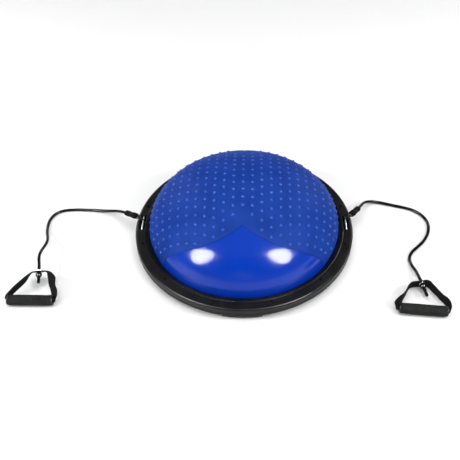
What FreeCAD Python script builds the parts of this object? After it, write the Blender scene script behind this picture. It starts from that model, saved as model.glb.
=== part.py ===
import FreeCAD, Part
import math
import os
import re
import Sketcher
from FreeCAD import Placement, Rotation, Vector

# Balance dome trainer: an inflated dome clamped in a round platform, with a resistance
# band and handle clipped to an anchor bar on each side.
# Millimetres. The origin is on the floor under the middle of the dome, +Z is up, the user's
# front is -Y, and the two anchor bars stand over the X axis.

# Driving dimensions. They go into the sheet, and every expression names them.
SIZES = {
    "base_radius": 290,
    "base_corner": 6,
    "foot_height": 10,
    "deck_thickness": 4,
    "deck_groove": 1.5,
    "deck_groove_width": 6,
    "rim_inner_radius": 236,
    "split_height": 25,
    "ring_top": 38,
    "ring_edge_round": 5,
    "lip_radius": 251,
    "lip_outer_radius": 262.5,
    "lip_bead": 3,
    "lip_bead_round": 1.6,
    "lip_drop": 5,
    "lip_round": 18,
    "flange_radius": 259,
    "skin": 3,
    "dome_radius": 249.7,
    "dome_top": 184,
    "shoulder_height": 38.5,
    "shoulder_radius": 109,
    "screw_circle": 272.5,
    "first_screw": 15,
    "screw_head_radius": 4,
    "screw_head_height": 2.5,
    "screw_drive_radius": 1.6,
    "screw_drive_depth": 1.5,
    "screw_shank_radius": 2,
    "screw_length": 17,
    "screw_recess_radius": 4.6,
    "screw_recess": 5,
    "foot_outer_radius": 284,
    "foot_inner_radius": 266,
    "foot_half_angle": 10,
    "foot_round": 1.5,
    "centre_foot_radius": 32,
    "valve_offset": 80,
    "valve_bore_radius": 4.5,
    "valve_seat_radius": 8,
    "valve_neck_radius": 6.5,
    "valve_flange_radius": 11,
    "valve_flange": 1.5,
    "valve_head_radius": 7,
    "valve_head_height": 2.4,
    "valve_plug_radius": 4.45,
    "valve_plug_length": 11,
    "valve_plug_taper": 2,
    "anchor_radius": 273,
    "anchor_height": 34,
    "anchor_bar_radius": 2,
    "anchor_bar_front": 22,
    "anchor_bar_back": 38,
    "pocket_half_width": 8,
    "pocket_front": 18,
    "pocket_back": 34,
    "pocket_floor": 18,
    "notch_half_width": 5.2,
    "notch_length": 40,
    "notch_floor": 28,
    "hook_wire_radius": 1.9,
    "hook_half_height": 5.2,
    "hook_start": 0.3,
    "hook_reach": 20,
    "hook_pitch": 25,
    "hook_nose": 4.5,
    "gate_hinge": 12,
    "gate_radius": 1.4,
    "gate_eye_radius": 1.8,
    "gate_eye_width": 1.8,
    "fork_gap": 2.2,
    "fork_depth": 3,
    "gate_shoulder": 0.6,
    "gate_pin_radius": 0.7,
    "pin_gap": 0.05,
    "gate_spring_radius": 0.7,
    "ring_wire_radius": 1.4,
    "ring_slack": 0.8,
    "ring_length": 13,
    "ring_half_width": 7.2,
    "ring_corner": 3,
    "ring_entry": 4,
    "sleeve_length": 38,
    "sleeve_neck": 9,
    "neck_width": 11,
    "neck_depth": 7,
    "sleeve_width": 13,
    "sleeve_depth": 10,
    "sleeve_round": 3,
    "tube_radius": 4,
    "tube_grip": 18,
    "tube_lead": 8,
    "plug_length": 9,
    "ball_radius": 8,
    "ball_half_length": 6,
    "left_tail_length": 17,
    "right_tail_length": 25,
    "tail_bore_radius": 2.2,
    "tail_plug_length": 10,
    "foam_length": 110,
    "foam_radius": 13.5,
    "foam_end_round": 3,
    "foam_bore_radius": 10.3,
    "core_radius": 10,
    "core_bore_radius": 8.5,
    "spin_gap": 0.3,
    "washer_thickness": 2,
    "washer_radius": 11.8,
    "webbing_width": 25,
    "webbing_thickness": 2.2,
    "webbing_inner_width": 14,
    "strap_half_length": 59.6,
    "eyelet_bore_radius": 4.4,
    "eyelet_barrel_radius": 5.5,
    "eyelet_flange_radius": 7.5,
    "eyelet_flange": 1,
}
SCREW_COUNT = 12
FOOT_COUNT = 6
DECK_GROOVES = (120, 160, 200)

# Routes of the two free tubes between sleeve and eyelet. Two more points at each end, on the
# sleeve's axis and on the eyelet's axis, are worked out from those pieces.
LEFT_ROUTE = [
    (-358, 74, 18), (-386, 83.5, 9), (-417, 90, 4.6), (-450, 93, 4.2), (-483, 93.5, 4.2),
    (-513, 90, 4.2), (-534, 76, 4.2), (-544, 53, 4.2), (-544.5, 27, 4.4), (-540, 1, 7),
    (-531, -24, 15), (-524, -49, 25), (-523.5, -73, 32), (-529, -96, 35), (-529.5, -118, 36.5),
]
RIGHT_ROUTE = [
    (334, 109, 18), (354.5, 124, 8.5), (380, 124, 4.4), (409, 114, 4.2), (439, 105, 4.2),
    (467, 94.5, 4.2), (488, 77, 4.2), (500.5, 53, 4.2), (502, 26.5, 4.2), (495, 0, 4.2),
    (480, -26.5, 4.2), (460.5, -48, 4.2), (440, -68, 4.2), (430, -91, 4.2), (432.5, -115, 5.5),
    (439.5, -137, 9.5),
]
STOP_LEAD = 19
LOOSEST_BEND = 0.45

# Visible run of each strap in its handle's own plane: x along the grip, y towards the eyelet.
# The run begins and ends where the webbing comes out of the grip core.
LEFT_LOOP = [(-60.5, 9), (-10, 78), (31, 83), (48, 58), (59.5, 17)]
RIGHT_LOOP = [(-64, 12), (-46, 37), (-28, 76), (21.5, 87.8), (39, 54), (62, 28)]
STRAP_BEND = 0.35
STRAP_BEND_LIMIT = 14

# A cutting tool runs this far past the faces that it opens, and a real cut removes more than
# the smallest volume.
OVERRUN = 2
SMALLEST_CUT = 1e-3

SIDES = {
    "left": {
        "out": -1, "hook_offset": 17, "hook_yaw": 35, "sleeve_yaw": 150, "sleeve_slope": 6,
        "route": LEFT_ROUTE, "loop": LEFT_LOOP, "apex": 1, "eyelet_along": 0.44,
        "grip": Vector(-527.5, -243, 13.6), "grip_yaw": 0, "grip_tilt": 12.4,
    },
    "right": {
        "out": 1, "hook_offset": 24, "hook_yaw": 33, "sleeve_yaw": 52.5, "sleeve_slope": 8,
        "route": RIGHT_ROUTE, "loop": RIGHT_LOOP, "apex": 2, "eyelet_along": 0.628,
        "grip": Vector(436, -265.8, 13.6), "grip_yaw": -5.1, "grip_tilt": 0,
    },
}

X_AXIS = Vector(1, 0, 0)
Y_AXIS = Vector(0, 1, 0)
Z_AXIS = Vector(0, 0, 1)

doc = FreeCAD.newDocument("balance_dome_trainer")
sheet = doc.addObject("Spreadsheet::Sheet", "Sizes")
for row, (alias, number) in enumerate(SIZES.items(), start=1):
    sheet.set("A%d" % row, alias)
    sheet.set("B%d" % row, str(number))
    sheet.setAlias("B%d" % row, alias)
doc.recompute()

nodes = []


# Expressions, labels and primitives

def named(text):
    """An expression with each alias written as a reference to the sheet."""
    return re.sub("[a-z_]+", lambda word: "Sizes." * (word[0] in SIZES) + word[0], text)


def size(text):
    """The number that an expression of the sheet's aliases gives."""
    value = sheet.evalExpression(named(text))
    return float(getattr(value, "Value", value))


def node(label, piece):
    """Give a finished piece its label and list it for writing."""
    piece.Label = label
    nodes.append(piece)
    return piece


def at(x=0, y=0, z=0, rotation=None):
    return Placement(Vector(x, y, z), rotation or Rotation())


def primitive(kind, name, placement, **sizes):
    """A Part primitive whose properties follow the sheet."""
    piece = doc.addObject("Part::" + kind, name)
    for prop, text in sizes.items():
        piece.setExpression(prop, named(text))
    piece.Placement = placement
    return piece


def rod(name, frame, start, end, radius, along=X_AXIS):
    """A cylinder in a frame, from start to end (expressions) on the frame's own axis."""
    turn = Rotation(Z_AXIS, along)
    foot = frame.multiply(Placement(along * size(start), turn))
    return primitive("Cylinder", name, foot, Radius=radius, Height="%s - ( %s )" % (end, start))


def boolean(kind, name, base, tool):
    piece = doc.addObject("Part::" + kind, name)
    piece.Base = base
    piece.Tool = tool
    return piece


def joined(name, pieces, kind="MultiFuse"):
    """Several pieces as one: a fused solid, or a compound of separate solids."""
    group = doc.addObject("Part::" + kind, name)
    if kind == "MultiFuse":
        group.Shapes = pieces
    else:
        group.Links = pieces
    return group


# Sketches and features

def new_sketch(body, name, role, offset=None):
    """A sketch on one of the body's origin planes, raised by an expression if one is given."""
    sketch = body.newObject("Sketcher::SketchObject", name)
    plane = [p for p in body.Origin.OriginFeatures if p.Role == role][0]
    sketch.AttachmentSupport = [(plane, "")]
    sketch.MapMode = "FlatFace"
    if offset:
        sketch.setExpression("AttachmentOffset.Base.z", named(offset))
    return sketch


def fix_point(sketch, edge, end, x_text, y_text):
    """Hold one end (or the centre, 3) of a sketch edge at a place given by two expressions."""
    for kind, text, axis in (("DistanceX", x_text, -2), ("DistanceY", y_text, -1)):
        value = size(text)
        if abs(value) < 1e-9:
            sketch.addConstraint(Sketcher.Constraint("PointOnObject", edge, end, axis))
        else:
            rule = sketch.addConstraint(Sketcher.Constraint(kind, -1, 1, edge, end, value))
            sketch.setExpression("Constraints[%d]" % rule, named(text))


def end_at(sketch, edge, place):
    """Which end of a sketch edge is at a place: arcs always run anticlockwise."""
    near = (sketch.getPoint(edge, 1) - place).Length < (sketch.getPoint(edge, 2) - place).Length
    return 1 if near else 2


def arc_between(start, end, radius, side):
    """An arc that bulges to the left (side 1) or to the right (side -1) of its chord."""
    chord = end - start
    outward = Vector(-chord.y, chord.x, 0).normalize() * side
    rise = radius - math.sqrt(max(radius ** 2 - (chord.Length / 2) ** 2, 0))
    return Part.Arc(start, (start + end) * 0.5 + outward * rise, end)


def outline(sketch, corners, closed=True):
    """Edges through corners (x, y), held by expressions.

    A corner (x, y, radius, side) is reached by an arc instead of a straight edge."""
    places = [Vector(size(corner[0]), size(corner[1]), 0) for corner in corners]
    first = sketch.GeometryCount
    order = range(len(corners)) if closed else range(1, len(corners))
    for i in order:
        if len(corners[i]) == 2:
            edge = Part.LineSegment(places[i - 1], places[i])
        else:
            edge = arc_between(places[i - 1], places[i], size(corners[i][2]), corners[i][3])
        sketch.addGeometry(edge, False)
    for number, i in enumerate(order):
        edge = first + number
        end = end_at(sketch, edge, places[i])
        fix_point(sketch, edge, end, corners[i][0], corners[i][1])
        if len(corners[i]) == 4:
            radius = size(corners[i][2])
            rule = sketch.addConstraint(Sketcher.Constraint("Radius", edge, radius))
            sketch.setExpression("Constraints[%d]" % rule, named(corners[i][2]))
        if closed or number + 1 < len(order):
            following = first + (number + 1) % len(order)
            start = end_at(sketch, following, places[i])
            sketch.addConstraint(Sketcher.Constraint("Coincident", edge, end, following, start))
    if not closed:
        fix_point(sketch, first, end_at(sketch, first, places[0]), corners[0][0], corners[0][1])


def circle(sketch, x_text, y_text, radius_text):
    centre = Vector(size(x_text), size(y_text), 0)
    edge = sketch.addGeometry(Part.Circle(centre, Z_AXIS, size(radius_text)), False)
    if centre.Length < 1e-9:
        sketch.addConstraint(Sketcher.Constraint("Coincident", edge, 3, -1, 1))
    else:
        fix_point(sketch, edge, 3, x_text, y_text)
    rule = sketch.addConstraint(Sketcher.Constraint("Radius", edge, size(radius_text)))
    sketch.setExpression("Constraints[%d]" % rule, named(radius_text))


def revolved(body, name, outlines, kind="Revolution"):
    """Turn outlines of (radius, height) corners about the body's Z axis."""
    sketch = new_sketch(body, name + "_outline", "XZ_Plane")
    for corners in outlines:
        outline(sketch, corners)
    before = volume_of(body) if kind == "Groove" else 0
    feature = body.newObject("PartDesign::" + kind, name)
    feature.Profile = sketch
    feature.ReferenceAxis = (sketch, ["V_Axis"])
    feature.Angle = 360
    if kind == "Groove" and volume_of(body) >= before - SMALLEST_CUT:
        raise RuntimeError("%s cuts nothing" % name)
    return feature


def turned(name, frame, corners):
    """A turned piece whose (radius, height) outline has its height along the frame's +X."""
    body = doc.addObject("PartDesign::Body", name + "_body")
    revolved(body, name + "_section", [corners])
    body.Placement = frame.multiply(at(rotation=Rotation(Z_AXIS, X_AXIS)))
    return body


def padded(body, sketch, name, length, middle=False):
    feature = body.newObject("PartDesign::Pad", name)
    feature.Profile = sketch
    feature.setExpression("Length", named(length))
    feature.Midplane = middle
    return feature


def pocketed(body, sketch, name, depth, upwards=False, middle=False):
    """Cut a sketch into the body, below its plane unless upwards is set."""
    before = volume_of(body)
    feature = body.newObject("PartDesign::Pocket", name)
    feature.Profile = sketch
    feature.setExpression("Length", named(depth))
    feature.Reversed = upwards
    feature.Midplane = middle
    if volume_of(body) >= before - SMALLEST_CUT:
        raise RuntimeError("%s cuts nothing" % name)
    return feature


def volume_of(body):
    doc.recompute()
    return body.Shape.Volume


def patterned(body, feature, name, count):
    """Repeat a feature round the body's Z axis."""
    pattern = body.newObject("PartDesign::PolarPattern", name)
    pattern.Originals = [feature]
    pattern.Axis = (feature.Profile[0], ["N_Axis"])
    pattern.Angle = 360
    pattern.Occurrences = count
    body.Tip = pattern
    return pattern


def rounded(body, base, name, radius, chosen):
    """Round the edges of the base feature that the test chooses."""
    doc.recompute()
    edges = ["Edge%d" % (i + 1) for i, edge in enumerate(base.Shape.Edges) if chosen(edge)]
    feature = body.newObject("PartDesign::Fillet", name)
    feature.Base = (base, edges)
    feature.setExpression("Radius", named(radius))
    return feature


def wire_body(name, path_plane, corners, radius, start_plane, start, middle, closed=True):
    """A bent round wire. Its section lies on start_plane, raised by start, round middle."""
    body = doc.addObject("PartDesign::Body", name)
    path = new_sketch(body, name + "_path", path_plane)
    outline(path, corners, closed)
    section = new_sketch(body, name + "_section", start_plane, start)
    circle(section, middle[0], middle[1], radius)
    doc.recompute()
    pipe = body.newObject("PartDesign::AdditivePipe", name + "_pipe")
    pipe.Profile = section
    pipe.Spine = (path, ["Edge%d" % (i + 1) for i in range(path.GeometryCount)])
    return body


# Bent paths in space

def bend_radii(points, share=LOOSEST_BEND, limit=None):
    """The arc at each inner point: as large as the shorter of its two runs allows."""
    radii = []
    for before, here, after in zip(points, points[1:], points[2:]):
        half_turn = (here - before).getAngle(after - here) / 2
        shorter = min((here - before).Length, (after - here).Length)
        radius = share * shorter / math.tan(half_turn)
        radii.append(min(radius, limit) if limit else radius)
    return radii


def rounded_path(points, radii):
    """Straight runs joined by tangent arcs, as (start, end) or (start, middle, end, centre)."""
    pieces = []
    start = points[0]
    for before, here, after, radius in zip(points, points[1:], points[2:], radii):
        back = (before - here).normalize()
        onward = (after - here).normalize()
        half_turn = (-back).getAngle(onward) / 2
        reach = radius * math.tan(half_turn)
        inward = (back + onward).normalize()
        centre = here + inward * (radius / math.cos(half_turn))
        first, last = here + back * reach, here + onward * reach
        pieces.append((start, first))
        pieces.append((first, centre - inward * radius, last, centre))
        start = last
    pieces.append((start, points[-1]))
    return pieces


def path_edge(piece):
    if len(piece) == 2:
        return Part.LineSegment(*piece).toShape()
    return Part.Arc(*piece[:3]).toShape()


def tube_shape(points, radius):
    """A solid round tube along a rounded path."""
    radii = bend_radii(points)
    path = Part.Wire([path_edge(piece) for piece in rounded_path(points, radii)])
    section = Part.Face(Part.Wire(Part.Circle(points[0], points[1] - points[0], radius).toShape()))
    shape = path.makePipe(section)
    expected = math.pi * radius ** 2 * path.Length
    diameters = ["%.1f" % (bend / (2 * radius)) for bend in radii]
    print("length %.1f mm, volume ratio %.4f" % (path.Length, shape.Volume / expected))
    print("bends in diameters:", " ".join(diameters))
    return shape


def strip_outline(sketch, points, half):
    """The closed outline of a strip of webbing seen on edge, half to each side of its path."""
    pieces = rounded_path(points, bend_radii(points, STRAP_BEND, STRAP_BEND_LIMIT))
    for side in (half, -half):
        for piece in pieces:
            if len(piece) == 2:
                across = Z_AXIS.cross(piece[1] - piece[0]).normalize() * side
                sketch.addGeometry(Part.LineSegment(piece[0] + across, piece[1] + across), False)
                continue
            centre = piece[3]
            turn = (piece[0] - centre).cross(piece[2] - centre).z
            radius = (piece[0] - centre).Length
            scale = 1 - side * math.copysign(1, turn) / radius
            sketch.addGeometry(Part.Arc(*[centre + (p - centre) * scale for p in piece[:3]]), False)
    for place, run in ((points[0], points[1] - points[0]), (points[-1], points[-1] - points[-2])):
        across = Z_AXIS.cross(run).normalize() * half
        sketch.addGeometry(Part.LineSegment(place + across, place - across), False)


# Base

def dome_profile(inset):
    """Crown and shoulder arcs of the dome, each inset (an expression) inside the outer skin."""
    across = "( dome_radius - shoulder_radius )"
    rise = "( dome_top - shoulder_height )"
    crown = "( ( %s ^ 2 + %s ^ 2 - shoulder_radius ^ 2 ) / ( 2 * ( %s - shoulder_radius ) ) )" % (
        across, rise, rise)
    reach = "( ( %s - %s ) / ( %s - shoulder_radius ) )" % (crown, inset, crown)
    return [
        ("0", "dome_top - %s" % inset),
        ("%s * %s" % (across, reach),
         "dome_top - %s + ( %s - %s ) * %s" % (crown, crown, rise, reach),
         "%s - %s" % (crown, inset), 1),
        ("dome_radius - %s" % inset, "shoulder_height", "shoulder_radius - %s" % inset, 1),
    ]


def hook_heading(side):
    """Which way a hook points, in degrees from +X: outwards and a little to the back."""
    return side["hook_yaw"] if side["out"] > 0 else 180 - side["hook_yaw"]


def hook_frame(side):
    """At the middle of the hook's bight on the anchor bar, +X out along the hook."""
    turn = Rotation(Z_AXIS, hook_heading(side)).multiply(Rotation(Y_AXIS, -size("hook_pitch")))
    return at(side["out"] * size("anchor_radius"), side["hook_offset"], size("anchor_height"), turn)


def anchor_tools():
    """The two pockets and hook notches that are cut from ring and platform."""
    pockets = []
    notches = []
    for name, side in SIDES.items():
        corner = at(side["out"] * size("anchor_radius") - size("pocket_half_width"),
                    -size("pocket_front"), size("pocket_floor"))
        pockets.append(primitive(
            "Box", name + "_pocket_tool", corner, Length="2 * pocket_half_width",
            Width="pocket_front + pocket_back",
            Height="ring_top - pocket_floor + %g" % OVERRUN))
        base = at(side["out"] * size("anchor_radius"), side["hook_offset"], size("notch_floor"),
                  Rotation(Z_AXIS, hook_heading(side)))
        notches.append(primitive(
            "Box", name + "_notch_tool", base.multiply(at(0, -size("notch_half_width"))),
            Length="notch_length", Width="2 * notch_half_width",
            Height="ring_top - notch_floor + %g" % OVERRUN))
    return pockets, notches


def make_anchor_bars():
    bars = []
    for name, side in SIDES.items():
        middle = at(side["out"] * size("anchor_radius"), 0, size("anchor_height"))
        bar = rod(name + "_bar", middle, "- anchor_bar_front", "anchor_bar_back",
                  "anchor_bar_radius", Y_AXIS)
        bars.append(node(name + "_anchor_bar", bar))
    return bars


def make_platform(pockets):
    body = doc.addObject("PartDesign::Body", "platform_body")
    revolved(body, "platform_tray", [[
        ("0", "foot_height"),
        ("base_radius - base_corner", "foot_height"),
        ("base_radius", "foot_height + base_corner", "base_corner", -1),
        ("base_radius", "split_height"),
        ("rim_inner_radius", "split_height"),
        ("rim_inner_radius - deck_thickness", "foot_height + deck_thickness"),
        ("0", "foot_height + deck_thickness"),
    ]])
    grooves = []
    for middle in DECK_GROOVES:
        inner, outer = "%g - deck_groove_width / 2" % middle, "%g + deck_groove_width / 2" % middle
        grooves.append([
            (inner, "foot_height - %g" % OVERRUN), (outer, "foot_height - %g" % OVERRUN),
            (outer, "foot_height + deck_groove"), (inner, "foot_height + deck_groove"),
        ])
    revolved(body, "deck_grooves", grooves, "Groove")
    sketch = new_sketch(body, "valve_hole_outline", "XY_Plane", "foot_height + deck_thickness")
    circle(sketch, "0", "valve_offset", "valve_seat_radius")
    pocketed(body, sketch, "valve_hole", "deck_thickness + %g" % OVERRUN)
    sketch = new_sketch(body, "pilot_outline", "XY_Plane", "split_height")
    circle(sketch, "screw_circle * cos(first_screw)", "screw_circle * sin(first_screw)",
           "screw_shank_radius")
    pilot = pocketed(body, sketch, "pilot_hole",
                     "screw_length + split_height - ring_top + screw_recess")
    patterned(body, pilot, "pilot_holes", SCREW_COUNT)
    tools = joined("platform_tools", pockets)
    return node("platform", boolean("Cut", "platform_cut", body, tools))


def make_clamp_ring(pockets, notches, bars):
    body = doc.addObject("PartDesign::Body", "clamp_ring_body")
    revolved(body, "clamp_ring_section", [[
        ("lip_radius", "split_height + skin"),
        ("flange_radius", "split_height + skin"),
        ("flange_radius", "split_height"),
        ("base_radius", "split_height"),
        ("base_radius", "ring_top - ring_edge_round"),
        ("base_radius - ring_edge_round", "ring_top", "ring_edge_round", -1),
        ("lip_outer_radius + lip_bead", "ring_top"),
        ("lip_outer_radius", "ring_top", "lip_bead_round", -1),
        ("lip_radius", "ring_top - lip_drop", "lip_round", -1),
    ]])
    x_text, y_text = "screw_circle * cos(first_screw)", "screw_circle * sin(first_screw)"
    sketch = new_sketch(body, "recess_outline", "XY_Plane", "ring_top")
    circle(sketch, x_text, y_text, "screw_recess_radius")
    recess = pocketed(body, sketch, "screw_recess", "screw_recess")
    patterned(body, recess, "screw_recesses", SCREW_COUNT)
    sketch = new_sketch(body, "shank_outline", "XY_Plane", "ring_top")
    circle(sketch, x_text, y_text, "screw_shank_radius")
    shank = pocketed(body, sketch, "shank_hole", "ring_top - split_height + %g" % OVERRUN)
    patterned(body, shank, "shank_holes", SCREW_COUNT)
    tools = joined("clamp_ring_tools", pockets + notches + bars)
    return node("clamp_ring", boolean("Cut", "clamp_ring_cut", body, tools))


def make_ring_screws():
    screws = []
    for i in range(SCREW_COUNT):
        angle = math.radians(size("first_screw") + i * 360 / SCREW_COUNT)
        across = size("screw_circle")
        seat = at(across * math.cos(angle), across * math.sin(angle),
                  size("ring_top - screw_recess"))
        head = rod("screw_%d_head" % i, seat, "0", "screw_head_height", "screw_head_radius", Z_AXIS)
        drive = rod("screw_%d_drive" % i, seat, "screw_head_height - screw_drive_depth",
                    "screw_head_height + %g" % OVERRUN, "screw_drive_radius", Z_AXIS)
        shank = rod("screw_%d_shank" % i, seat, "- screw_length", "screw_shank_radius / 4",
                    "screw_shank_radius", Z_AXIS)
        top = boolean("Cut", "screw_%d_top" % i, head, drive)
        screws.append(boolean("Fuse", "screw_%d" % i, top, shank))
    return node("ring_screws", joined("screws", screws, "Compound"))


def make_bladder():
    body = doc.addObject("PartDesign::Body", "bladder_body")
    revolved(body, "bladder_outer", [dome_profile("0") + [
        ("dome_radius", "split_height + skin"),
        ("flange_radius", "split_height + skin"),
        ("flange_radius", "split_height"),
        ("rim_inner_radius", "split_height"),
        ("rim_inner_radius - deck_thickness", "foot_height + deck_thickness"),
        ("0", "foot_height + deck_thickness"),
    ]])
    revolved(body, "air_space", [dome_profile("skin") + [
        ("dome_radius - skin", "split_height + skin"),
        ("rim_inner_radius - skin", "split_height + skin"),
        ("rim_inner_radius - deck_thickness - skin", "foot_height + deck_thickness + skin"),
        ("0", "foot_height + deck_thickness + skin"),
    ]], "Groove")
    sketch = new_sketch(body, "valve_neck_outline", "XY_Plane", "foot_height + deck_thickness")
    circle(sketch, "0", "valve_offset", "valve_neck_radius")
    pocketed(body, sketch, "valve_neck_hole", "skin + %g" % OVERRUN, upwards=True)
    return node("bladder", body)


def make_feet():
    """Six arcs of rubber under the rim and a round pad in the middle."""
    x_text, y_text = "sin(foot_half_angle )", "cos(foot_half_angle )"
    for i in range(FOOT_COUNT):
        body = doc.addObject("PartDesign::Body", "foot_body_%d" % (i + 1))
        sketch = new_sketch(body, "foot_outline_%d" % (i + 1), "XY_Plane")
        outline(sketch, [
            ("- foot_outer_radius * " + x_text, "- foot_outer_radius * " + y_text),
            ("foot_outer_radius * " + x_text, "- foot_outer_radius * " + y_text,
             "foot_outer_radius", -1),
            ("foot_inner_radius * " + x_text, "- foot_inner_radius * " + y_text),
            ("- foot_inner_radius * " + x_text, "- foot_inner_radius * " + y_text,
             "foot_inner_radius", 1),
        ])
        pad = padded(body, sketch, "foot_pad_%d" % (i + 1), "foot_height")
        rounded(body, pad, "foot_round_%d" % (i + 1), "foot_round",
                lambda edge: edge.BoundBox.ZMax < 1e-6)
        body.Placement = at(rotation=Rotation(Z_AXIS, i * 360 / FOOT_COUNT))
        node("foot_%d" % (i + 1), body)
    body = doc.addObject("PartDesign::Body", "centre_foot_body")
    sketch = new_sketch(body, "centre_foot_outline", "XY_Plane")
    circle(sketch, "0", "0", "centre_foot_radius")
    pad = padded(body, sketch, "centre_foot_pad", "foot_height")
    rounded(body, pad, "centre_foot_round", "foot_round", lambda edge: edge.BoundBox.ZMax < 1e-6)
    node("centre_foot", body)


def make_valve():
    """The seat welded into the bladder's bottom, and the plug that is pushed into it."""
    place = at(0, size("valve_offset"), 0)
    seat = doc.addObject("PartDesign::Body", "valve_seat_body")
    deck, membrane = "foot_height + deck_thickness", "foot_height + deck_thickness + skin"
    revolved(seat, "valve_seat_section", [[
        ("valve_bore_radius", "foot_height"), ("valve_seat_radius", "foot_height"),
        ("valve_seat_radius", deck), ("valve_neck_radius", deck),
        ("valve_neck_radius", membrane), ("valve_flange_radius", membrane),
        ("valve_flange_radius", membrane + " + valve_flange"),
        ("valve_bore_radius", membrane + " + valve_flange"),
    ]])
    seat.Placement = place
    node("valve_seat", seat)
    plug = doc.addObject("PartDesign::Body", "valve_plug_body")
    top = "foot_height + valve_plug_length"
    revolved(plug, "valve_plug_section", [[
        ("0", "foot_height - spin_gap - valve_head_height"),
        ("valve_head_radius", "foot_height - spin_gap - valve_head_height"),
        ("valve_head_radius", "foot_height - spin_gap"),
        ("valve_plug_radius", "foot_height - spin_gap"),
        ("valve_plug_radius", top + " - valve_plug_taper"),
        ("valve_plug_radius - valve_plug_taper / 2", top),
        ("0", top),
    ]])
    plug.Placement = place
    node("valve_plug", plug)


# Snap hook, ring and sleeve

def make_hook(name, side):
    frame = hook_frame(side)
    height, nose = "hook_half_height", "hook_nose"
    body = wire_body(name + "_hook_wire", "XZ_Plane", [
        (nose, height),
        ("hook_start", height),
        ("hook_start - " + height, "0", height, -1),
        ("hook_start", "- " + height, height, -1),
        ("hook_reach - " + height, "- " + height),
        ("hook_reach", "0", height, -1),
        ("hook_reach - " + height, height, height, -1),
        ("gate_hinge - gate_eye_radius", height),
    ], "hook_wire_radius", "YZ_Plane", nose, ("0", height), closed=False)
    body.Placement = frame
    hinge = frame.multiply(at(size("gate_hinge"), 0, size(height)))
    fork = primitive(
        "Box", name + "_fork_tool",
        hinge.multiply(at(-size("fork_depth"), -size("fork_gap") / 2, -size("fork_depth"))),
        Length="fork_depth + gate_eye_radius + spin_gap", Width="fork_gap",
        Height="2 * fork_depth")
    pin = rod(name + "_pin", hinge, "- hook_wire_radius", "hook_wire_radius", "gate_pin_radius",
              Y_AXIS)
    tools = joined(name + "_hook_tools", [fork, pin])
    node(name + "_hook_body", boolean("Cut", name + "_hook_cut", body, tools))
    node(name + "_gate_pin", pin)
    make_gate(name, hinge)


def make_gate(name, hinge):
    """The sprung gate: +X of the hinge's frame points away from the nose."""
    tip = "hook_nose + spin_gap - gate_hinge"
    bar_end = "- gate_eye_radius - gate_shoulder"
    bar = rod(name + "_gate_bar", hinge, tip, bar_end, "gate_radius")
    tongue_length = "( gate_eye_radius + 2 * gate_shoulder )"
    tongue = primitive(
        "Box", name + "_gate_tongue",
        hinge.multiply(at(-size(tongue_length), -size("gate_eye_width") / 2,
                          -size("gate_eye_radius") / 2)),
        Length=tongue_length, Width="gate_eye_width", Height="gate_eye_radius")
    eye = rod(name + "_gate_eye", hinge, "- gate_eye_width / 2", "gate_eye_width / 2",
              "gate_eye_radius", Y_AXIS)
    hole = rod(name + "_gate_hole", hinge, "- gate_eye_width", "gate_eye_width",
               "gate_pin_radius + pin_gap", Y_AXIS)
    spring_end = bar_end + " - gate_shoulder"
    spring = rod(name + "_spring", hinge, tip + " + gate_shoulder", spring_end,
                 "gate_spring_radius")
    bore = rod(name + "_spring_bore", hinge, tip, spring_end, "gate_spring_radius")
    solid = joined(name + "_gate_solid", [bar, tongue, eye])
    tools = joined(name + "_gate_tools", [hole, bore])
    node(name + "_hook_gate", boolean("Cut", name + "_gate_cut", solid, tools))
    node(name + "_gate_spring", spring)


def link_frame(side):
    """At the ring's inner bar inside the hook's outer end, +X down along the sleeve."""
    inside = size("hook_reach - hook_wire_radius - ring_wire_radius - ring_slack")
    turn = Rotation(Z_AXIS, side["sleeve_yaw"]).multiply(Rotation(Y_AXIS, side["sleeve_slope"]))
    return Placement(hook_frame(side).multVec(Vector(inside, 0, 0)), turn)


def make_link_ring(name, side):
    straight = "( ring_half_width - ring_corner )"
    body = wire_body(name + "_ring_wire", "XY_Plane", [
        ("0", straight),
        ("ring_corner", "ring_half_width", "ring_corner", 1),
        ("ring_length - ring_corner", "ring_half_width"),
        ("ring_length", straight, "ring_corner", 1),
        ("ring_length", "- " + straight),
        ("ring_length - ring_corner", "- ring_half_width", "ring_corner", 1),
        ("ring_corner", "- ring_half_width"),
        ("0", "- " + straight, "ring_corner", 1),
    ], "ring_wire_radius", "XZ_Plane", straight, ("0", "0"))
    body.Placement = link_frame(side)
    node(name + "_link_ring", body)


def sleeve_frame(side):
    return link_frame(side).multiply(at(size("ring_length - ring_entry"), 0, 0))


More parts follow.
